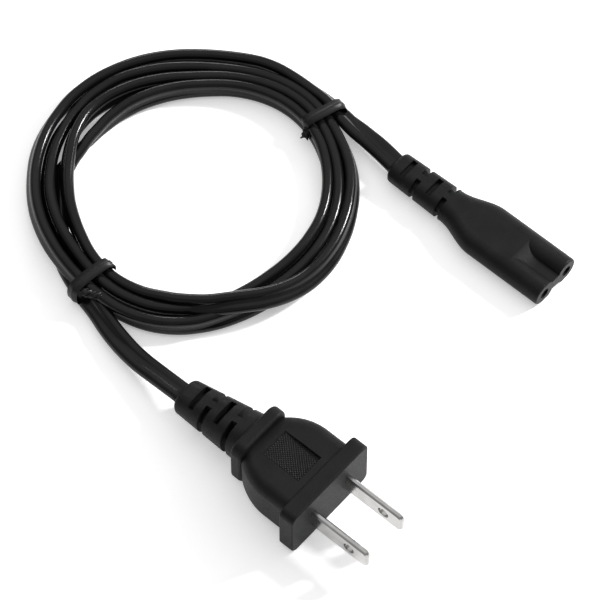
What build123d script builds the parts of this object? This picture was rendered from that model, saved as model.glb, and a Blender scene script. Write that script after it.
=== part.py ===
from build123d import *
import math
import os

# Power cord: a two-blade mains plug and a two-pin appliance connector on a flat two-core lead.
# The lead is coiled for storage and held by two twist ties. Everything lies on the plane z = 0.
# Both ends point along +X, and the middle of their joint outline is the origin.
# Along each end, x is counted back from its front face, so places behind the face are negative.

os.makedirs("parts", exist_ok=True)

# Lead
cord_width = 5.8
cord_thickness = 2.9
core_radius = cord_thickness / 2
moulded_core_radius = 1.35
strand_radius = 0.6

# Plug: places and front flange
plug_face_x = 16.725
plug_axis_y = -39.35
flange_width = 27.9
flange_height = 16.8
flange_thickness = 4.4
flange_corner = 2.0
flange_edge_round = 0.5

# Plug: finger grip and its knurled panels
grip_length = 16.9
grip_width = 23.8
grip_height = 14.8
grip_neck_width = 16.4
grip_neck_height = 12.4
grip_straight = 6.6
grip_edge_round = 3.0
panel_length = 11.5
panel_width = 8.5
panel_depth = 0.7
panel_middle_x = -12.3

# Plug: collar and strain relief
collar_thickness = 3.7
collar_width = 17.0
collar_height = 15.8
collar_corner = 3.0
collar_edge_round = 1.0
relief_droop = 7.5
relief_swing = 1.5
relief_root_overlap = 1.5
plug_relief_length = 21.7
plug_relief_mouth = (9.4, 7.2)
plug_relief_root = (13.6, 11.4)
plug_slot_pitch = 4.13
plug_slot_width = 1.7
plug_first_slot = 5.3
plug_pocket_width = 7.4

# Plug: blades, bridge and crimps
blade_pitch = 12.7
blade_length = 17.6
blade_height = 6.35
blade_thickness = 1.5
blade_tip_corner = 1.4
blade_tip_bevel = 0.4
blade_hole_radius = 1.6
blade_hole_x = 11.9
blade_tang_length = 8.5
bridge_back = 7.5
bridge_front = 1.5
bridge_width = 19.0
bridge_height = 8.4
bridge_corner = 1.2
neck_height = 2.4
neck_length = 2.6
barrel_wall = 0.5
barrel_length = 5.0
barrel_slit = 0.4

# Connector: places, nose and body
connector_face_x = 17.775
connector_axis_y = 45.55
pin_pitch = 8.6
lobe_radius = 3.45
body_straight = 22.3
body_taper = 12.1
waist_height = 3.4
groove_length = 11.6
groove_ramp = 5.5
face_round = 0.5
entry_radius = 1.5
front_wall = 1.2

# Connector: strain relief
connector_relief_length = 17.7
connector_relief_mouth = (8.6, 6.6)
connector_relief_root = (9.6, 6.9)
connector_slot_pitch = 4.23
connector_slot_width = 1.5
connector_first_slot = 4.1
connector_pocket_width = 5.6

# Both reliefs
relief_core_wall = 0.6
relief_web = 1.9
relief_mouth_round = 1.2

# Connector: contacts and insert
pin_bore_radius = 1.2
sleeve_wall = 0.5
sleeve_length = 11.8
sleeve_back_wall = 0.6
sleeve_slit = 0.5
sleeve_clearance = 0.05
crimp_length = 5.4
crimp_wall = 0.6
crimp_grip = 4.8
insert_length = 15.8
insert_wall = 0.75
insert_web = 2.2

# Coil of lead, standing on edge, and the two places where the lead leaves it
tie_thickness = 0.6
coil_centre = (-69.325, 8.35)
coil_radius = 41.4
loop_centre = (-67.375, 6.95)
loop_radius = 31.4
coil_edge_round = 1.4
plug_leave_angle = 248.0
plug_leave_length = 22.0
connector_leave_angle = 90.0
connector_leave_length = 15.7

# Twist ties
tie_width = 2.8
tie_slack = 0.15
tie_corner = 1.2
plug_tie_angle = 270.0
connector_tie_angle = 71.0
pigtail_length = 3.6
pigtail_width = 2.0
pigtail_thickness = 1.1
pigtail_turn = 120.0
pigtail_steps = 4

# Sizes that follow from the ones above
plug_axis_z = flange_height / 2
connector_height = 2 * lobe_radius
connector_axis_z = connector_height / 2
connector_width = pin_pitch + 2 * lobe_radius
grip_back = flange_thickness + grip_length
collar_back = grip_back + collar_thickness
plug_mouth_back = collar_back + plug_relief_length
taper_back = body_straight + body_taper
connector_mouth_back = taper_back + connector_relief_length
barrel_radius = strand_radius + barrel_wall
barrel_front = blade_tang_length + neck_length
barrel_back = barrel_front + barrel_length
sleeve_radius = pin_bore_radius + sleeve_wall
sleeve_back = front_wall + sleeve_length
crimp_radius = strand_radius + crimp_wall
crimp_back = sleeve_back + crimp_length
coil_base_z = tie_thickness
coil_axis_z = coil_base_z + cord_width / 2


def plug_across(back):
    """Plane across the plug's axis, a distance behind its face."""
    return Plane((plug_face_x - back, plug_axis_y, plug_axis_z), x_dir=(0, 1, 0), z_dir=(1, 0, 0))


def plug_relief_across(back):
    """Plane across the plug's strain relief, which droops and swings from the back of the collar."""
    return plug_across(collar_back).rotated((0, -relief_droop, relief_swing)).offset(collar_back - back)


def connector_across(back):
    """Plane across the connector's axis, a distance behind its face."""
    return Plane((connector_face_x - back, connector_axis_y, connector_axis_z), x_dir=(0, 1, 0), z_dir=(1, 0, 0))


def beside(plane_at, side):
    """The same planes, moved sideways along Y."""
    return lambda back: plane_at(back).move(Location((side, 0, 0)))


plug_plan = Plane((plug_face_x, plug_axis_y, plug_axis_z))
plug_side = Plane((plug_face_x, plug_axis_y, plug_axis_z), x_dir=(1, 0, 0), z_dir=(0, -1, 0))
connector_side = Plane((connector_face_x, connector_axis_y, connector_axis_z), x_dir=(1, 0, 0), z_dir=(0, -1, 0))


def grip_profile(plane, full, neck):
    """Outline of the grip in one view: straight at the front, then one arc down to the neck."""
    front = -flange_thickness
    with BuildSketch(plane) as profile:
        with BuildLine():
            bend = (front - grip_straight, full)
            end = (-grip_back, neck)
            Polyline((-grip_back, 0), (front, 0), (front, full), bend)
            TangentArc(bend, end, tangent=(-1, 0))
            Line(end, (-grip_back, 0))
        make_face()
        mirror(about=Plane.XZ)
    return profile.sketch


def relief(plane_at, mouth_back, length, mouth, root, pitch, width, first, pocket):
    """Segmented strain relief: a tapered sleeve with pockets above and below, then at the sides, in turn."""
    root_back = mouth_back - length
    core = (cord_width + 2 * relief_core_wall, cord_thickness + 2 * relief_core_wall)
    outside = 2 * root[0]
    with BuildPart() as sleeve:
        for back, size in ((mouth_back, mouth), (root_back, root)):
            with BuildSketch(plane_at(back)):
                RectangleRounded(size[0], size[1], 0.46 * size[1])
        loft(ruled=True)
        fillet(sleeve.faces().sort_by(Axis.X)[0].edges(), relief_mouth_round)
        for level in range(4):
            with BuildSketch(plane_at(mouth_back - first - level * pitch + width / 2)):
                Rectangle(outside, outside)
                RectangleRounded(core[0], core[1], 0.4 * core[1], mode=Mode.SUBTRACT)
                if level % 2:
                    Rectangle(relief_web, outside, mode=Mode.SUBTRACT)
                else:
                    with Locations((pocket / 2 + outside, 0), (-pocket / 2 - outside, 0)):
                        Rectangle(2 * outside, outside, mode=Mode.SUBTRACT)
            extrude(amount=width, mode=Mode.SUBTRACT)
    return sleeve.part


def lead_route(relief_at, plane_at, mouth_back, spread_start, spread_end, end_back, pitch, side):
    """Centre line of one core, from the relief's mouth, out to its own blade or contact."""
    near = (side * core_radius, 0, 0)
    far = (side * pitch / 2, 0, 0)
    in_relief = [relief_at(back).from_local_coords(near) for back in (mouth_back, spread_start)]
    in_body = [plane_at(back).from_local_coords(far) for back in (spread_end, end_back)]
    return in_relief + in_body


def core_sweep(points, bend, inner, outer):
    """Round bar or tube along a core's centre line."""
    with BuildPart() as bar:
        with BuildLine() as line:
            FilletPolyline(*points, radius=bend)
        with BuildSketch(Plane(points[0], z_dir=points[1] - points[0])):
            Circle(outer)
            if inner:
                Circle(inner, mode=Mode.SUBTRACT)
        sweep(path=line.wires()[0])
    return bar.part


# Plug blades: a flat blade, a tang in the bridge, a neck and a crimp barrel
def blade(side):
    middle = Plane(
        (plug_face_x, plug_axis_y + side * blade_pitch / 2, plug_axis_z), x_dir=(1, 0, 0), z_dir=(0, -1, 0)
    )
    across = beside(plug_across, side * blade_pitch / 2)
    with BuildPart() as flat:
        with BuildSketch(middle):
            with Locations(((blade_length - blade_tang_length) / 2, 0)):
                Rectangle(blade_length + blade_tang_length, blade_height)
        extrude(amount=blade_thickness / 2, both=True)
        tip = flat.faces().sort_by(Axis.X)[-1]
        fillet(tip.edges().filter_by(Axis.Y), blade_tip_corner)
        tip = flat.faces().sort_by(Axis.X)[-1]
        chamfer(tip.edges().filter_by(Axis.Z), blade_tip_bevel)
        with BuildSketch(middle):
            with Locations((blade_hole_x, 0)):
                Circle(blade_hole_radius)
        extrude(amount=blade_thickness, both=True, mode=Mode.SUBTRACT)
        with BuildSketch(across(barrel_front + barrel_wall)):
            Rectangle(blade_thickness, neck_height)
        extrude(amount=neck_length + barrel_wall)
        with BuildSketch(across(barrel_back)):
            Circle(barrel_radius)
        extrude(amount=barrel_length)
        with BuildSketch(across(barrel_back)):
            Circle(strand_radius)
            with Locations((0, barrel_radius)):
                Rectangle(barrel_slit, 2 * barrel_radius)
        extrude(amount=barrel_length - barrel_wall, mode=Mode.SUBTRACT)
    return flat.part


sides = {"left": 1, "right": -1}
blades = {name: blade(side) for name, side in sides.items()}

plug_lead_bend = 4.0
plug_leads = {}
plug_strands = {}
for name, side in sides.items():
    route = lead_route(plug_relief_across, plug_across, plug_mouth_back, barrel_back + 10.5, barrel_back + 2.6,
                       barrel_back, blade_pitch, side)
    plug_leads[name] = core_sweep(route, plug_lead_bend, strand_radius, moulded_core_radius)
    route[-1] = route[-1] + Vector(barrel_length - barrel_wall, 0, 0)
    plug_strands[name] = core_sweep(route, plug_lead_bend, 0, strand_radius)

with BuildPart() as bridge_blank:
    with BuildSketch(plug_across(bridge_back)):
        RectangleRounded(bridge_width, bridge_height, bridge_corner)
    extrude(amount=bridge_back - bridge_front)

with BuildPart() as plug_bridge:
    add(bridge_blank.part)
    for part in blades.values():
        add(part, mode=Mode.SUBTRACT)

with BuildPart() as plug_grip:
    extrude(grip_profile(plug_plan, grip_width / 2, grip_neck_width / 2), amount=grip_height, both=True)
    extrude(grip_profile(plug_side, grip_height / 2, grip_neck_height / 2), amount=grip_width, both=True,
            mode=Mode.INTERSECT)
    long_edges = plug_grip.edges().filter_by(lambda edge: abs(edge.tangent_at(0.5).X) > 0.6)
    fillet(long_edges, grip_edge_round)

with BuildPart() as plug_body:
    with BuildSketch(plug_across(flange_thickness)):
        RectangleRounded(flange_width, flange_height, flange_corner)
    extrude(amount=flange_thickness)
    fillet(plug_body.faces().sort_by(Axis.X)[-1].edges(), flange_edge_round)
    fillet(plug_body.faces().sort_by(Axis.X)[0].edges(), flange_edge_round)
    with BuildSketch(plug_across(collar_back)):
        RectangleRounded(collar_width, collar_height, collar_corner)
    extrude(amount=collar_thickness)
    collar_faces = plug_body.faces().filter_by(Axis.X).sort_by(Axis.X)
    fillet(collar_faces[0].edges() + collar_faces[1].edges(), collar_edge_round)
    add(plug_grip.part)
    for top in (1, -1):
        with BuildSketch(plug_plan.offset(top * grip_height / 2)):
            with Locations((panel_middle_x, 0)):
                Rectangle(panel_length, panel_width)
        extrude(amount=-top * panel_depth, mode=Mode.SUBTRACT)
    with BuildSketch(plug_relief_across(collar_back)):
        RectangleRounded(plug_relief_root[0], plug_relief_root[1], 0.46 * plug_relief_root[1])
    extrude(amount=relief_root_overlap)
    add(relief(plug_relief_across, plug_mouth_back, plug_relief_length, plug_relief_mouth, plug_relief_root,
               plug_slot_pitch, plug_slot_width, plug_first_slot, plug_pocket_width))
    add(bridge_blank.part, mode=Mode.SUBTRACT)
    for name, side in sides.items():
        for part in (blades[name], plug_leads[name], plug_strands[name]):
            add(part, mode=Mode.SUBTRACT)
        with BuildSketch(beside(plug_across, side * blade_pitch / 2)(barrel_back)):
            Circle(barrel_radius)
        extrude(amount=barrel_length, mode=Mode.SUBTRACT)


# Connector contacts: a split sleeve for the pin and a crimp for the core, turned about one axis
def sleeve(side):
    middle = Plane(
        (connector_face_x, connector_axis_y + side * pin_pitch / 2, connector_axis_z),
        x_dir=(1, 0, 0), z_dir=(0, -1, 0),
    )
    with BuildPart() as contact:
        with BuildSketch(middle):
            with BuildLine():
                Polyline(
                    (-crimp_back, strand_radius),
                    (-crimp_back, crimp_radius),
                    (-sleeve_back - sleeve_back_wall, crimp_radius),
                    (-sleeve_back - sleeve_back_wall, sleeve_radius),
                    (-front_wall, sleeve_radius),
                    (-front_wall, pin_bore_radius),
                    (-sleeve_back, pin_bore_radius),
                    (-sleeve_back, 0),
                    (-crimp_back + crimp_grip, 0),
                    (-crimp_back + crimp_grip, strand_radius),
                    close=True,
                )
            make_face()
        revolve(axis=Axis(middle.origin, (1, 0, 0)))
        with BuildSketch(Plane(middle.origin, x_dir=(1, 0, 0), z_dir=(0, side, 0))):
            with Locations((-front_wall - sleeve_length / 2, 0)):
                Rectangle(sleeve_length, sleeve_slit)
        extrude(amount=2 * sleeve_radius, mode=Mode.SUBTRACT)
    return contact.part


sleeves = {name: sleeve(side) for name, side in sides.items()}

connector_lead_bend = 5.0
connector_leads = {}
connector_strands = {}
for name, side in sides.items():
    route = lead_route(connector_across, connector_across, connector_mouth_back, crimp_back + 9.0,
                       crimp_back + 2.2, crimp_back, pin_pitch, side)
    connector_leads[name] = core_sweep(route, connector_lead_bend, strand_radius, moulded_core_radius)
    route[-1] = route[-1] + Vector(crimp_grip, 0, 0)
    connector_strands[name] = core_sweep(route, connector_lead_bend, 0, strand_radius)

with BuildPart() as insert_blank:
    with BuildSketch(connector_across(front_wall + insert_length)):
        with Locations((pin_pitch / 2, 0), (-pin_pitch / 2, 0)):
            Circle(sleeve_radius + insert_wall)
        Rectangle(pin_pitch, insert_web)
    extrude(amount=insert_length)

with BuildPart() as connector_insert:
    add(insert_blank.part)
    for side in sides.values():
        at_contact = beside(connector_across, side * pin_pitch / 2)
        with BuildSketch(at_contact(sleeve_back + sleeve_back_wall)):
            Circle(sleeve_radius + sleeve_clearance)
        extrude(amount=sleeve_length + sleeve_back_wall, mode=Mode.SUBTRACT)
        with BuildSketch(at_contact(crimp_back)):
            Circle(crimp_radius + sleeve_clearance)
        extrude(amount=crimp_length, mode=Mode.SUBTRACT)

with BuildPart() as connector_taper:
    taper_steps = 6
    for step in range(taper_steps + 1):
        share = step / taper_steps
        ease = (1 - math.cos(math.pi * share)) / 2
        width = connector_width + (connector_relief_root[0] - connector_width) * ease
        with BuildSketch(connector_across(body_straight + share * body_taper)):
            SlotOverall(width, connector_height)
    loft()

with BuildPart() as nose_groove:
    with BuildSketch(connector_across(groove_length)):
        Rectangle(pin_pitch, 2 * connector_height)
        with Locations((pin_pitch / 2, 0), (-pin_pitch / 2, 0)):
            Circle(lobe_radius, mode=Mode.SUBTRACT)
        Rectangle(pin_pitch, waist_height, mode=Mode.SUBTRACT)
        for side in sides.values():
            with Locations((side * (pin_pitch + lobe_radius) / 2, 0)):
                Rectangle(lobe_radius, 2 * connector_height, mode=Mode.SUBTRACT)
    extrude(amount=groove_length)
    with BuildSketch(connector_side):
        for top in (1, -1):
            with BuildLine():
                foot = (-groove_length + groove_ramp, top * waist_height / 2)
                start = (-groove_length, top * connector_height / 2)
                TangentArc(foot, start, tangent=(-1, 0))
                Polyline(
                    start,
                    (-groove_length, top * connector_height),
                    (0, top * connector_height),
                    (0, top * waist_height / 2),
                    foot,
                )
            make_face()
    extrude(amount=connector_width, both=True, mode=Mode.INTERSECT)

with BuildPart() as connector_body:
    with BuildSketch(connector_across(body_straight)):
        SlotOverall(connector_width, connector_height)
    extrude(amount=body_straight)
    fillet(connector_body.faces().sort_by(Axis.X)[-1].edges(), face_round)
    add(connector_taper.part)
    add(relief(connector_across, connector_mouth_back, connector_relief_length, connector_relief_mouth,
               connector_relief_root, connector_slot_pitch, connector_slot_width, connector_first_slot,
               connector_pocket_width))
    add(nose_groove.part, mode=Mode.SUBTRACT)
    add(insert_blank.part, mode=Mode.SUBTRACT)
    for name, side in sides.items():
        at_contact = beside(connector_across, side * pin_pitch / 2)
        with BuildSketch(at_contact(front_wall)):
            Circle(entry_radius)
        extrude(amount=front_wall, mode=Mode.SUBTRACT)
        with BuildSketch(at_contact(crimp_back)):
            Circle(crimp_radius)
        extrude(amount=crimp_length, mode=Mode.SUBTRACT)
        for part in (connector_leads[name], connector_strands[name]):
            add(part, mode=Mode.SUBTRACT)


def on_coil(angle, radius):
    """Point at a polar angle and radius about the coil's centre."""
    turn = math.radians(angle)
    return coil_centre[0] + radius * math.cos(turn), coil_centre[1] + radius * math.sin(turn)


def leaving_strand(angle, heading, length):
    """Straight strand on edge that leaves the outermost turn, and the point and direction where it ends."""
    start = on_coil(angle, coil_radius - cord_thickness / 2)
    direction = Vector(math.cos(math.radians(heading)), math.sin(math.radians(heading)), 0)
    with BuildPart() as strand:
        with BuildSketch(Plane((*start, coil_axis_z), x_dir=(0, 0, 1), z_dir=direction)):
            SlotOverall(cord_width, cord_thickness)
        extrude(amount=length)
    return strand.part, Vector(*start, coil_axis_z) + direction * length, direction


plug_leave, plug_leave_end, plug_leave_way = leaving_strand(
    plug_leave_angle, plug_leave_angle - 270, plug_leave_length
)
connector_leave, connector_leave_end, connector_leave_way = leaving_strand(
    connector_leave_angle, connector_leave_angle - 90, connector_leave_length
)

with BuildPart() as cord_coil:
    with BuildSketch(Plane.XY.offset(coil_base_z)):
        with Locations(coil_centre):
            Circle(coil_radius)
        with Locations(loop_centre):
            Circle(loop_radius, mode=Mode.SUBTRACT)
    extrude(amount=cord_width)
    fillet(cord_coil.edges().filter_by(GeomType.CIRCLE), coil_edge_round)
    add(plug_leave)
    add(connector_leave)

# Lead between the coil and each end: straight runs joined by arcs
plug_tail_points = [
    plug_leave_end,
    plug_leave_end + plug_leave_way * 8.3,
    (-47.2, -40.9, 3.4),
    (-38.2, -40.15, 4.46),
    (-29.6, -39.9, 5.6),
]
connector_tail_points = [
    connector_leave_end,
    connector_leave_end + connector_leave_way * 6.4,
    (-40.2, 46.85, 3.5),
    (-33.6, 45.65, 3.45),
]


def tail(name, points, mouth):
    """Lead on edge along its route, cut flush with the mouth of the relief that it enters."""
    corners = [Vector(point) for point in points]
    radii = []
    for before, corner, after in zip(corners, corners[1:], corners[2:]):
        into, out = corner - before, after - corner
        half_turn = math.radians(into.get_angle(out) / 2)
        radii.append(0.45 * min(into.length, out.length) / math.tan(half_turn))
    print(name, "radii", [round(radius, 1) for radius in radii])
    with BuildPart() as piece:
        with BuildLine() as line:
            FilletPolyline(*corners, radius=radii)
        path = line.wires()[0]
        with BuildSketch(Plane(path @ 0, x_dir=(0, 0, 1), z_dir=path % 0)):
            SlotOverall(cord_width, cord_thickness)
        section = piece.pending_faces[0].area
        sweep(path=path)
        print(name, "volume", round(piece.part.volume, 1), "section x length", round(section * path.length, 1))
        split(bisect_by=mouth, keep=Keep.BOTTOM)
    return piece.part


cord_plug_tail = tail("plug tail", plug_tail_points, plug_relief_across(plug_mouth_back))
cord_connector_tail = tail("connector tail", connector_tail_points, connector_across(connector_mouth_back))


# Twist ties: a ribbon wrapped round the turns, its ends twisted together on the inside of the loop
def twist_tie(angle, inner_radius, outer_radius):
    turn = math.radians(angle)
    radial = (math.cos(turn), math.sin(turn), 0)
    along = (-math.sin(turn), math.cos(turn), 0)
    middle = on_coil(angle, (inner_radius + outer_radius) / 2)
    width = outer_radius - inner_radius + 2 * tie_slack
    height = cord_width
    section = Plane((*middle, coil_axis_z), x_dir=radial, z_dir=along)
    with BuildPart() as ribbon:
        with BuildSketch(section):
            RectangleRounded(width + 2 * tie_thickness, height + 2 * tie_thickness, tie_corner + tie_thickness)
            RectangleRounded(width, height, tie_corner, mode=Mode.SUBTRACT)
        extrude(amount=tie_width / 2, both=True)
        inner_side = Vector(*middle, coil_axis_z) - Vector(*radial) * (width / 2 + tie_thickness / 2)
        root = Plane(inner_side, x_dir=along, z_dir=Vector(*radial) * -1)
        for step in range(pigtail_steps + 1):
            share = step / pigtail_steps
            with BuildSketch(root.offset(share * pigtail_length)):
                Rectangle(pigtail_width, pigtail_thickness, rotation=share * pigtail_turn)
        loft(ruled=True)
    return ribbon.part


tie_plug_side = twist_tie(plug_tie_angle, 32.6, 45.3)
tie_connector_side = twist_tie(connector_tie_angle, 30.4, 44.4)

pieces = {
    "plug_body": plug_body.part,
    "plug_bridge": plug_bridge.part,
    "connector_body": connector_body.part,
    "connector_insert": connector_insert.part,
    "cord_coil": cord_coil.part,
    "cord_plug_tail": cord_plug_tail,
    "cord_connector_tail": cord_connector_tail,
    "tie_plug_side": tie_plug_side,
    "tie_connector_side": tie_connector_side,
}
for name in sides:
    pieces["plug_blade_" + name] = blades[name]
    pieces["plug_lead_" + name] = plug_leads[name]
    pieces["plug_strand_" + name] = plug_strands[name]
    pieces["contact_sleeve_" + name] = sleeves[name]
    pieces["connector_lead_" + name] = connector_leads[name]
    pieces["connector_strand_" + name] = connector_strands[name]

for name, piece in pieces.items():
    piece.label = name
    export_step(piece, f"parts/{name}.step")
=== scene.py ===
import math

import bmesh
import bpy
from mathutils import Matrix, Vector


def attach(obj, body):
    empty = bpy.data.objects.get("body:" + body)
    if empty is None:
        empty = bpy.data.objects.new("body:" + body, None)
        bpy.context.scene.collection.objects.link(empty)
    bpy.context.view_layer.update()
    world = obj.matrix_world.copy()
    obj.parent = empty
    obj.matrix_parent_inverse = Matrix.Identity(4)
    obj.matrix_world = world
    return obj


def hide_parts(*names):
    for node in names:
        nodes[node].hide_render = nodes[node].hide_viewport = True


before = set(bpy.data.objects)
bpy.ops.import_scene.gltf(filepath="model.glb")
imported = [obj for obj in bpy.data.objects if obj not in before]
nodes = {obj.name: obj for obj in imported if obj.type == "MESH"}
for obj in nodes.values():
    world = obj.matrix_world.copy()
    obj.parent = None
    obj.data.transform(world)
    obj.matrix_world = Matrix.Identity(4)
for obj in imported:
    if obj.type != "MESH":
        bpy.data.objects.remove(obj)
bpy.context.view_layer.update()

# A millimetre in metres: the lead, the ties and the knurl are laid out in millimetres, the rest in metres
MM = 0.001
up = Vector((0.0, 0.0, 1.0))

# Camera: the photograph's view, from above the plug's end, with a long lens one metre away
target = Vector((-28.325, 1.35, 0.0)) * MM
toward = Vector((0.3280, -0.3774, 0.8660))
camera_data = bpy.data.cameras.new("camera")
camera_data.sensor_width = 36.0
camera_data.lens = 240.0
camera_data.clip_start = 0.05
camera_data.clip_end = 10.0
camera = bpy.data.objects.new("camera", camera_data)
bpy.context.scene.collection.objects.link(camera)
camera.location = target + toward
camera.rotation_euler = toward.to_track_quat("Z", "Y").to_euler()
bpy.context.scene.camera = camera

# Level directions of the picture: to its right, and away from the camera
picture_right = Vector((0.7547, 0.6561, 0.0))
picture_away = Vector((-0.6561, 0.7547, 0.0))


# Parts of the materials; nearly all of a noise lies between these two values
noise_low = 0.3
noise_high = 0.7


def new_material(name):
    """A material, its node tree and its shader."""
    material = bpy.data.materials.new(name)
    material.use_nodes = True
    tree = material.node_tree
    return material, tree, tree.nodes["Principled BSDF"]


def add_node(tree, kind, **settings):
    """A node with its sockets or its own settings filled in by name."""
    node = tree.nodes.new(kind)
    for key, value in settings.items():
        if key in node.inputs:
            node.inputs[key].default_value = value
        else:
            setattr(node, key, value)
    return node


def object_noise(tree, scale, detail=3.0, roughness=0.55, stretch=None):
    """Noise in the piece's own coordinates, so that its grain has a real size."""
    place = add_node(tree, "ShaderNodeTexCoord")
    noise = add_node(tree, "ShaderNodeTexNoise", Scale=scale, Detail=detail, Roughness=roughness)
    if stretch:
        mapping = add_node(tree, "ShaderNodeMapping", Scale=stretch)
        tree.links.new(place.outputs["Object"], mapping.inputs["Vector"])
        tree.links.new(mapping.outputs["Vector"], noise.inputs["Vector"])
    else:
        tree.links.new(place.outputs["Object"], noise.inputs["Vector"])
    return noise.outputs["Fac"]


def colour_from(tree, shader, noise, shades):
    """Base colour that goes from the dark shade to the light one with the noise."""
    ramp = add_node(tree, "ShaderNodeValToRGB")
    for element, position, shade in zip(ramp.color_ramp.elements, (noise_low, noise_high), shades):
        element.position = position
        element.color = (*shade, 1.0)
    tree.links.new(noise, ramp.inputs["Fac"])
    tree.links.new(ramp.outputs["Color"], shader.inputs["Base Color"])


def roughness_from(tree, shader, noise, roughness):
    """Roughness that goes from the low value to the high one with the noise."""
    low, high = roughness
    node = add_node(
        tree, "ShaderNodeMapRange",
        **{"From Min": noise_low, "From Max": noise_high, "To Min": low, "To Max": high}
    )
    tree.links.new(noise, node.inputs["Value"])
    tree.links.new(node.outputs["Result"], shader.inputs["Roughness"])


def bump_from(tree, shader, noise, strength, depth):
    """Bump of the noise, its depth in metres."""
    bump = add_node(tree, "ShaderNodeBump", Strength=strength, Distance=depth)
    tree.links.new(noise, bump.inputs["Height"])
    tree.links.new(bump.outputs["Normal"], shader.inputs["Normal"])


# Materials
def moulded(name, shades, roughness, grain, grain_depth, specular=0.5):
    """Soft moulding with a spark-eroded grain and a little unevenness in its colour and sheen."""
    material, tree, shader = new_material(name)
    patches = object_noise(tree, scale=160.0)
    fine = object_noise(tree, scale=grain, detail=4.0, roughness=0.6)
    colour_from(tree, shader, patches, shades)
    roughness_from(tree, shader, fine, roughness)
    bump_from(tree, shader, fine, strength=1.0, depth=grain_depth)
    shader.inputs["Specular IOR Level"].default_value = specular
    return material


def extruded(name, shades, roughness, specular):
    """Satin skin of an extruded lead, with a fine grain and slow patches of sheen."""
    material, tree, shader = new_material(name)
    slow = object_noise(tree, scale=90.0)
    fine = object_noise(tree, scale=1900.0, roughness=0.5)
    colour_from(tree, shader, slow, shades)
    roughness_from(tree, shader, slow, roughness)
    bump_from(tree, shader, fine, strength=0.6, depth=0.00003)
    shader.inputs["Specular IOR Level"].default_value = specular
    return material


def brushed_metal(name, shades, roughness, stretch, depth):
    """Plated or bare strip with fine lines along its first axis."""
    material, tree, shader = new_material(name)
    lines = object_noise(tree, scale=900.0, detail=4.0, roughness=0.6, stretch=stretch)
    stains = object_noise(tree, scale=220.0)
    colour_from(tree, shader, stains, shades)
    roughness_from(tree, shader, lines, roughness)
    shader.inputs["Metallic"].default_value = 1.0
    bump_from(tree, shader, lines, strength=0.35, depth=depth)
    return material


# Dark and light shade of each colour
plug_black = ((0.005, 0.005, 0.0055), (0.008, 0.008, 0.0085))
deep_black = ((0.004, 0.004, 0.0045), (0.007, 0.007, 0.0075))
insert_black = ((0.010, 0.010, 0.011), (0.015, 0.015, 0.016))
cord_black = ((0.003, 0.003, 0.0035), (0.006, 0.006, 0.0065))
nickel = ((0.36, 0.355, 0.35), (0.46, 0.455, 0.445))
brass = ((0.70, 0.50, 0.22), (0.82, 0.64, 0.32))
copper = ((0.72, 0.36, 0.20), (0.88, 0.48, 0.30))

plug_material = moulded(
    "plug_moulding", plug_black, roughness=(0.42, 0.56), grain=2600.0, grain_depth=0.00007, specular=0.13
)
knurl_material = moulded(
    "plug_knurl", plug_black, roughness=(0.34, 0.44), grain=2600.0, grain_depth=0.00002, specular=0.32
)
connector_material = moulded(
    "connector_moulding", deep_black, roughness=(0.40, 0.52), grain=2600.0, grain_depth=0.00006, specular=0.13
)
insert_material = moulded(
    "hard_insert", insert_black, roughness=(0.35, 0.45), grain=1800.0, grain_depth=0.00003
)
tie_material = moulded(
    "tie_plastic", deep_black, roughness=(0.32, 0.44), grain=1500.0, grain_depth=0.00004, specular=0.22
)
cord_material = extruded("cord_skin", cord_black, roughness=(0.15, 0.22), specular=0.20)
blade_material = brushed_metal(
    "blade_nickel", nickel, roughness=(0.14, 0.26), stretch=(0.06, 1.0, 1.0), depth=0.00002
)
brass_material = brushed_metal(
    "contact_brass", brass, roughness=(0.18, 0.30), stretch=(0.06, 1.0, 1.0), depth=0.00002
)
copper_material = brushed_metal(
    "copper_strand", copper, roughness=(0.24, 0.36), stretch=(0.02, 1.0, 1.0), depth=0.00010
)

# Solids that the scene keeps, by the start of their names
kept_solids = [
    ("plug_body", plug_material),
    ("plug_bridge", insert_material),
    ("plug_blade_", blade_material),
    ("plug_lead_", cord_material),
    ("plug_strand_", copper_material),
    ("connector_body", connector_material),
    ("connector_insert", insert_material),
    ("connector_lead_", cord_material),
    ("connector_strand_", copper_material),
    ("contact_sleeve_", brass_material),
]
for start, material in kept_solids:
    for name in nodes:
        if name.startswith(start):
            nodes[name].data.materials.clear()
            nodes[name].data.materials.append(material)


# Pieces made of a section along a line
def mesh_piece(name, points, faces, material, smooth=True):
    """A piece of the part, in metres, with its faces turned outwards."""
    mesh = bpy.data.meshes.new(name)
    mesh.from_pydata([tuple(point) for point in points], [], faces)
    mesh.validate()
    piece = bpy.data.objects.new(name, mesh)
    bpy.context.scene.collection.objects.link(piece)
    work = bmesh.new()
    work.from_mesh(mesh)
    bmesh.ops.recalc_face_normals(work, faces=work.faces)
    work.to_mesh(mesh)
    work.free()
    for polygon in mesh.polygons:
        polygon.use_smooth = smooth
    mesh.materials.append(material)
    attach(piece, "root")
    return piece


def tube_faces(rings, count):
    """Faces between neighbouring rings of so many points each, with a cap on either end."""
    faces = []
    for base in range(0, (rings - 1) * count, count):
        for step in range(count):
            next_step = (step + 1) % count
            faces.append((base + step, base + next_step, base + count + next_step, base + count + step))
    last = (rings - 1) * count
    faces.append(tuple(range(count)))
    faces.append(tuple(range(last + count - 1, last - 1, -1)))
    return faces


def swept(name, line, section, sides, material):
    """The section at each point of the line, laid out on that point's own pair of directions."""
    points = []
    for place, (wide, thin) in zip(line, sides):
        for x, y in section:
            points.append(place + wide * x * MM + thin * y * MM)
    return mesh_piece(name, points, tube_faces(len(line), len(section)), material)


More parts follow.
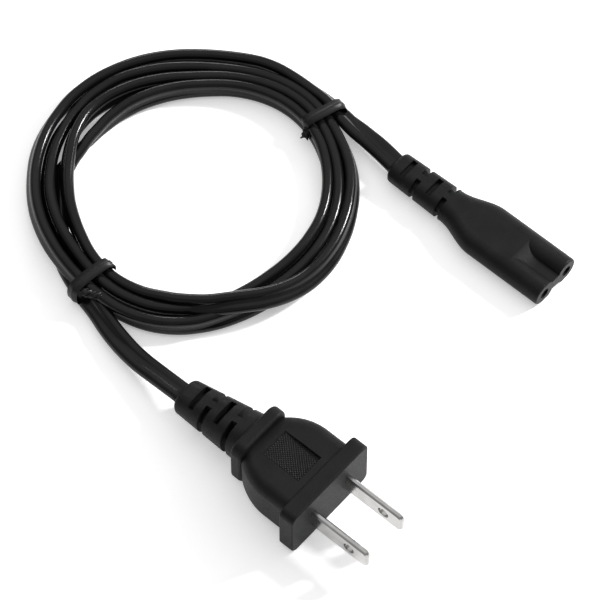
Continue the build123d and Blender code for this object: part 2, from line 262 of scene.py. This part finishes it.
def spline_points(name, points, resolution):
    """Points of a smooth NURBS curve that its control points lead, from the first to the last."""
    data = bpy.data.curves.new(name, "CURVE")
    data.dimensions = "3D"
    spline = data.splines.new("NURBS")
    spline.points.add(len(points) - 1)
    for knot, point in zip(spline.points, points):
        knot.co = (*(Vector(point) * MM), 1.0)
    spline.order_u = 3
    spline.use_endpoint_u = True
    spline.resolution_u = resolution
    holder = bpy.data.objects.new(name, data)
    bpy.context.scene.collection.objects.link(holder)
    bpy.context.view_layer.update()
    shape = bpy.data.meshes.new_from_object(holder.evaluated_get(bpy.context.evaluated_depsgraph_get()))
    places = [vertex.co.copy() for vertex in shape.vertices]
    bpy.data.objects.remove(holder)
    bpy.data.curves.remove(data)
    bpy.data.meshes.remove(shape)
    return places


def direction_at(line, index):
    """Direction of the line at one of its points."""
    before = line[max(index - 1, 0)]
    after = line[min(index + 1, len(line) - 1)]
    return (after - before).normalized()


def control_span(index, line, control_points):
    """The control point before a point of such a curve, and the part of the way to the next one.

    The curve has two spans fewer than control points, and the middle of each span lies at a control point.
    """
    where = index / (len(line) - 1) * (len(control_points) - 2) + 0.5
    low = min(int(where), len(control_points) - 2)
    return low, where - low


# The lead's route, from the plug's relief to the connector's: each place with the lead's lean from upright
exit_point = (-29.5, -39.9, 5.6)
plug_tail = [
    (exit_point, 90),
    ((-38.2, -39.5, 4.2), 90),
    ((-47.2, -39.15, 3.0), 84),
    ((-56.2, -37.5, 2.8), 66),
    ((-63.9, -34.9, 2.6), 56),
]
connector_tail = [
    ((-61.0, 49.6, 3.1), 30),
    ((-53.6, 47.7, 3.2), 60),
    ((-47.2, 47.2, 3.4), 80),
    ((-40.2, 46.75, 3.5), 90),
    ((-33.8, 45.7, 3.45), 90),
]

# Turns of the coil, clockwise round its middle: angle, radius and height of the lead's middle, and its lean
coil_centre = (-69.325, 8.35)
turns = [
    (270, 41.6, 2.1, 60), (262, 40.2, 2.0, 74), (254, 38.9, 1.7, 82), (245, 37.3, 1.7, 84),
    (236, 36.3, 1.7, 84), (227, 35.5, 1.9, 78), (218, 35.0, 2.1, 70), (208, 32.6, 2.6, 46),
    (198, 30.4, 2.9, 20), (185, 29.5, 2.9, 4), (165, 28.9, 3.0, -12), (148, 28.5, 3.0, -12),
    (130, 28.6, 3.0, -6), (110, 30.6, 3.0, 0), (90, 32.6, 3.0, 0), (75, 33.4, 3.0, 0), (60, 33.6, 3.0, 2),
    (46, 33.5, 2.9, 10), (22, 33.6, 2.9, 14), (5, 33.3, 2.85, 22), (350, 33.5, 2.8, 24),
    (338, 34.1, 2.75, 26), (326, 35.7, 2.8, 26), (313, 37.6, 2.7, 22), (300, 37.9, 2.9, 8),
    (288, 38.0, 3.0, 0), (278, 37.7, 3.3, 0),
    (266, 37.1, 4.0, 4), (250, 36.7, 4.8, 14), (235, 37.2, 4.6, 18), (220, 37.5, 3.8, 22),
    (207, 37.5, 3.1, 28), (198, 38.0, 2.95, 30), (180, 37.7, 3.1, 10), (160, 36.4, 3.1, -12),
    (145, 34.8, 3.1, -12), (130, 34.0, 3.1, -6), (118, 34.5, 3.1, 0), (108, 35.5, 3.1, 0),
    (90, 37.5, 3.1, 0), (75, 37.9, 3.1, 0), (60, 38.9, 3.0, 14), (46, 39.6, 3.0, 16), (33, 39.6, 3.2, 20),
    (20, 39.9, 3.4, 26), (5, 40.4, 3.7, 36), (352, 40.5, 4.6, 44), (341, 39.9, 6.0, 52),
    (331, 38.2, 6.9, 56), (321, 37.6, 6.7, 50), (311, 36.8, 5.3, 32), (301, 35.2, 4.0, 12),
    (290, 34.9, 3.3, 0), (280, 35.0, 3.2, 0),
    (266, 34.3, 3.4, 0), (250, 32.8, 4.0, 4), (235, 32.4, 4.6, 8), (220, 32.5, 5.0, 18),
    (207, 32.9, 5.2, 20), (195, 34.3, 4.8, 16), (182, 34.4, 4.0, 0), (165, 33.3, 3.2, -12),
    (148, 31.8, 3.1, -12), (130, 31.1, 3.1, -6), (110, 33.0, 3.0, 0), (90, 35.3, 3.1, 0),
    (75, 36.1, 3.1, 0), (60, 36.1, 3.0, 12), (46, 36.3, 2.9, 18), (22, 36.9, 2.9, 20), (5, 36.8, 2.85, 24),
    (350, 37.0, 2.75, 28), (338, 37.6, 2.7, 30), (326, 38.8, 2.8, 26), (313, 40.9, 2.95, 10),
    (300, 42.0, 3.0, 6), (288, 42.0, 3.1, 0), (278, 41.3, 3.5, 0),
    (266, 40.5, 4.2, 4), (250, 40.7, 4.8, 14), (235, 41.0, 4.4, 18), (220, 41.1, 3.6, 18),
    (200, 41.7, 3.0, 28), (180, 40.9, 3.1, 8), (160, 39.3, 3.1, -12), (130, 37.9, 3.1, -6),
    (108, 39.1, 3.1, 4), (92, 42.0, 3.1, 6),
]

# Degrees between the coil's control points, and how far the smooth curve runs inside them
coil_step = 13.0
curve_inset = 0.3
route_resolution = 8


def on_coil(angle, radius, height):
    """Place at an angle and a distance from the coil's middle."""
    turn = math.radians(angle)
    return coil_centre[0] + radius * math.cos(turn), coil_centre[1] + radius * math.sin(turn), height


def unwound(keys):
    """The same keys with the angle falling steadily instead of starting again at each turn."""
    steady = []
    lap = 0
    last = keys[0][0]
    for angle, *rest in keys:
        if angle > last:
            lap += 360
        last = angle
        steady.append((angle - lap, *rest))
    return steady


def coil_points(keys):
    """Places along the turns at even angles, with radius, height and lean from the keys on either side."""
    steady = unwound(keys)
    spans = list(zip(steady, steady[1:]))
    first, last = steady[0][0], steady[-1][0]
    places = []
    for number in range(int((first - last) / coil_step) + 1):
        angle = first - number * coil_step
        (from_angle, *low), (to_angle, *high) = next(span for span in spans if angle >= span[1][0])
        share = (from_angle - angle) / (from_angle - to_angle)
        radius, height, lean = (start + (end - start) * share for start, end in zip(low, high))
        places.append((on_coil(angle, radius + curve_inset, height), lean))
    return places


# Section of the lead: two round lobes, side by side, joined by a thinner waist
lobe = 1.45
waist_half = 0.95
lobe_end = math.radians(120.0)
lobe_steps = 12


def lead_section():
    """Outline of the flat lead, its width along the first axis."""
    right = []
    for step in range(lobe_steps + 1):
        turn = lobe_end - 2 * lobe_end * step / lobe_steps
        right.append((lobe + lobe * math.cos(turn), lobe * math.sin(turn)))
    left = [(-x, y) for x, y in reversed(right)]
    return right + [(0.0, -waist_half)] + left + [(0.0, waist_half)]


def lead_sides(line, leans):
    """Directions of the lead's width and thickness along the line, from the leans at its control points."""
    sides = []
    for index in range(len(line)):
        low, part = control_span(index, line, leans)
        eased = part * part * (3 - 2 * part)
        lean = math.radians(leans[low] + (leans[low + 1] - leans[low]) * eased)
        along = direction_at(line, index)
        level = along.cross(up).normalized()
        upright = level.cross(along).normalized()
        wide = upright * math.cos(lean) + level * math.sin(lean)
        sides.append((wide, along.cross(wide).normalized()))
    return sides


route = plug_tail + coil_points(turns) + connector_tail
line = spline_points("route", [point for point, lean in route], route_resolution)
cord = swept("cord", line, lead_section(), lead_sides(line, [lean for point, lean in route]), cord_material)
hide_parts("cord_coil", "cord_plug_tail", "cord_connector_tail")
cord_length = sum((b - a).length for a, b in zip(line, line[1:]))
print("cord length", round(cord_length, 4))


# Twist ties: a ribbon with a wire down its middle, wrapped round the turns, its two ends twisted together
tie_half = 1.6
film_half = 0.12
wire_foot = (0.5, 0.14)
wire_crest = (0.3, 0.34)
tie_corner = [(tie_half, film_half), wire_foot, wire_crest]
tie_section = [(-x, -y) for x, y in tie_corner] + [(x, -y) for x, y in reversed(tie_corner)]
tie_section += [(-x, -y) for x, y in tie_section]
wrap_resolution = 6

# The twisted ends are crushed: narrower and thicker than the ribbon, and drawn together towards their tips
end_section = [(x * 0.7, y * 2.0) for x, y in tie_section]
end_steps = 14
end_resolution = 4
end_apart = 0.5
end_taper = 0.1


def ribbon(name, points, across, section, resolution):
    """Ribbon along a smooth line; across gives the direction of its width at each control point."""
    line = spline_points(name + "_line", points, resolution)
    sides = []
    for index in range(len(line)):
        low, part = control_span(index, line, points)
        width = (across[low] * (1 - part) + across[low + 1] * part).normalized()
        along = direction_at(line, index)
        width = (width - along * width.dot(along)).normalized()
        sides.append((width, along.cross(width)))
    return swept(name, line, section, sides, tie_material)


def joined(name, pieces):
    """One object made of several."""
    bpy.ops.object.select_all(action="DESELECT")
    for piece in pieces:
        piece.select_set(True)
    bpy.context.view_layer.objects.active = pieces[0]
    bpy.ops.object.join()
    pieces[0].name = name
    return pieces[0]


def twist_tie(name, node, angle, inner, outer, low, high, skew, twist_from, twist_along, twist_turns):
    """Tie at an angle of the coil, from the inner to the outer radius and from the low to the high level.

    Its outer side stands aside along the lead by the skew. The twisted ends start at twist_from, which is
    a radius, a height and a way along the lead, and run along twist_along.
    """
    turn = math.radians(angle)
    radial = Vector((math.cos(turn), math.sin(turn), 0.0))
    along = Vector((-math.sin(turn), math.cos(turn), 0.0))

    def at(radius, height, shift):
        place = Vector((coil_centre[0], coil_centre[1], 0.0)) + radial * radius + along * shift
        return place + up * height

    # Radius, height and way along the lead of the loop's control points, which round its corners
    loop = [
        (inner + 0.6, (low + high) / 2 + 0.5, 0.7),
        (inner + 0.2, high - 1.2, 0.6),
        (inner + 1.6, high + 0.1, 0.4),
        ((inner + outer) / 2, high + 0.25, skew * 0.5),
        (outer - 1.8, high, skew),
        (outer, high - 1.4, skew),
        (outer, low + 1.4, skew * 0.8),
        (outer - 1.6, low, skew * 0.5),
        ((inner + outer) / 2, low, 0.0),
        (inner + 1.6, low, -0.3),
        (inner + 0.2, low + 1.2, -0.5),
        (inner + 0.6, (low + high) / 2 + 0.1, -0.6),
    ]
    places = [at(*place) for place in loop]
    pieces = [ribbon(name + "_wrap", places, [along] * len(loop), tie_section, wrap_resolution)]
    beside = twist_along.cross(up).normalized()
    upright = beside.cross(twist_along).normalized()
    for sign, half_turn in ((1, 0), (-1, math.pi)):
        points = []
        across = []
        for step in range(end_steps + 1):
            share = step / end_steps
            spin = math.radians(360 * twist_turns * share) + half_turn
            side = beside * math.cos(spin) + upright * math.sin(spin)
            points.append(at(*twist_from) + twist_along * share + side * (end_apart - end_taper * share))
            across.append(beside * -math.sin(spin) + upright * math.cos(spin))
        pieces.append(ribbon(f"{name}_end_{sign}", points, across, end_section, end_resolution))
    tie = joined(name, pieces)
    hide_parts(node)
    return tie


lower_tie = twist_tie(
    "tie_lower", "tie_plug_side", angle=270, inner=32.0, outer=45.2, low=0.45, high=7.4, skew=-1.0,
    twist_from=(43.3, 6.3, 1.3), twist_along=Vector((3.6, 2.1, -0.7)), twist_turns=0.9
)
upper_tie = twist_tie(
    "tie_upper", "tie_connector_side", angle=71, inner=31.6, outer=43.9, low=0.45, high=6.9, skew=0.8,
    twist_from=(32.9, 3.9, 0.0), twist_along=Vector((1.0, -2.6, -0.6)), twist_turns=0.7
)


# Diamond knurl in the two sunk panels of the plug's grip
panel_middle = (4.425, -39.35)
panel_length = 11.3
panel_width = 8.3
top_floor = 15.1
under_floor = 1.7
knurl_height = 0.25
knurl_across = 0.82
knurl_deep = 0.78


def knurl(name, floor, side):
    """Pyramids in a diamond lattice on the panel's floor; side is 1 where they point up and -1 where down."""
    columns = 2 * round(panel_length / knurl_across)
    rows = 2 * round(panel_width / knurl_deep)
    step_x = panel_length / columns
    step_y = panel_width / rows
    points = []
    index = {}
    for column in range(columns + 1):
        for row in range(rows + 1):
            x = panel_middle[0] - panel_length / 2 + column * step_x
            y = panel_middle[1] - panel_width / 2 + row * step_y
            inside = 0 < column < columns and 0 < row < rows
            tall = inside and (column + row) % 2 == 0
            index[column, row] = len(points)
            points.append(Vector((x, y, floor + side * (knurl_height if tall else 0.0))) * MM)
    faces = []
    for column in range(columns):
        for row in range(rows):
            a, b = index[column, row], index[column + 1, row]
            c, d = index[column + 1, row + 1], index[column, row + 1]
            if (column + row) % 2:
                faces += [(a, b, c), (a, c, d)]
            else:
                faces += [(a, b, d), (b, c, d)]
    piece = mesh_piece(name, points, faces, knurl_material, smooth=False)
    return piece


knurl("plug_knurl_top", top_floor, 1)
knurl("plug_knurl_under", under_floor, -1)

# Floor
floor_half = 3.0
floor_height = -0.0002
floor_glow = 0.34


def floor_plane():
    """Level square round the picture's middle."""
    corners = [(-1, -1), (1, -1), (1, 1), (-1, 1)]
    points = [(target.x + x * floor_half, target.y + y * floor_half, floor_height) for x, y in corners]
    mesh = bpy.data.meshes.new("floor")
    mesh.from_pydata(points, [], [(0, 1, 2, 3)])
    plane = bpy.data.objects.new("floor", mesh)
    bpy.context.scene.collection.objects.link(plane)
    return plane


def combined(tree, operation, first, second):
    """Two values put together by a maths node; each is a socket to link or a plain number."""
    node = add_node(tree, "ShaderNodeMath", operation=operation)
    for socket, value in zip(node.inputs, (first, second)):
        if isinstance(value, float):
            socket.default_value = value
        else:
            tree.links.new(value, socket)
    return node.outputs[0]


def floor_white():
    """Matt white that also glows a little where a camera, glossy or transmission ray meets it."""
    material, tree, shader = new_material("floor_white")
    shader.inputs["Base Color"].default_value = (0.93, 0.93, 0.93, 1.0)
    shader.inputs["Roughness"].default_value = 0.9
    shader.inputs["Specular IOR Level"].default_value = 0.1
    shader.inputs["Emission Color"].default_value = (1.0, 1.0, 1.0, 1.0)
    rays = add_node(tree, "ShaderNodeLightPath").outputs
    seen = combined(tree, "MAXIMUM", rays["Is Camera Ray"], rays["Is Glossy Ray"])
    seen = combined(tree, "MAXIMUM", seen, rays["Is Transmission Ray"])
    tree.links.new(combined(tree, "MULTIPLY", seen, floor_glow), shader.inputs["Emission Strength"])
    return material


floor_plane().data.materials.append(floor_white())

# Light
world = bpy.data.worlds.new("studio")
world.use_nodes = True
bpy.context.scene.world = world
background = world.node_tree.nodes["Background"]
background.inputs["Color"].default_value = (1.0, 1.0, 1.0, 1.0)
background.inputs["Strength"].default_value = 0.48


def soft_light(name, right, away, height, size_x, size_y, energy):
    """Soft box at a place counted in metres from the picture's middle, facing it."""
    data = bpy.data.lights.new(name, "AREA")
    data.shape = "RECTANGLE"
    data.size = size_x
    data.size_y = size_y
    data.energy = energy
    lamp = bpy.data.objects.new(name, data)
    bpy.context.scene.collection.objects.link(lamp)
    lamp.location = target + picture_right * right + picture_away * away + up * height
    lamp.rotation_euler = (lamp.location - target).to_track_quat("Z", "Y").to_euler()


soft_light("key", right=0.79, away=0.36, height=0.55, size_x=0.12, size_y=0.18, energy=15.0)
soft_light("top", right=-0.05, away=0.35, height=1.2, size_x=1.9, size_y=1.9, energy=6.5)
soft_light("back", right=-0.10, away=0.95, height=0.34, size_x=0.30, size_y=0.12, energy=1.6)

bpy.context.scene.view_settings.view_transform = "Standard"
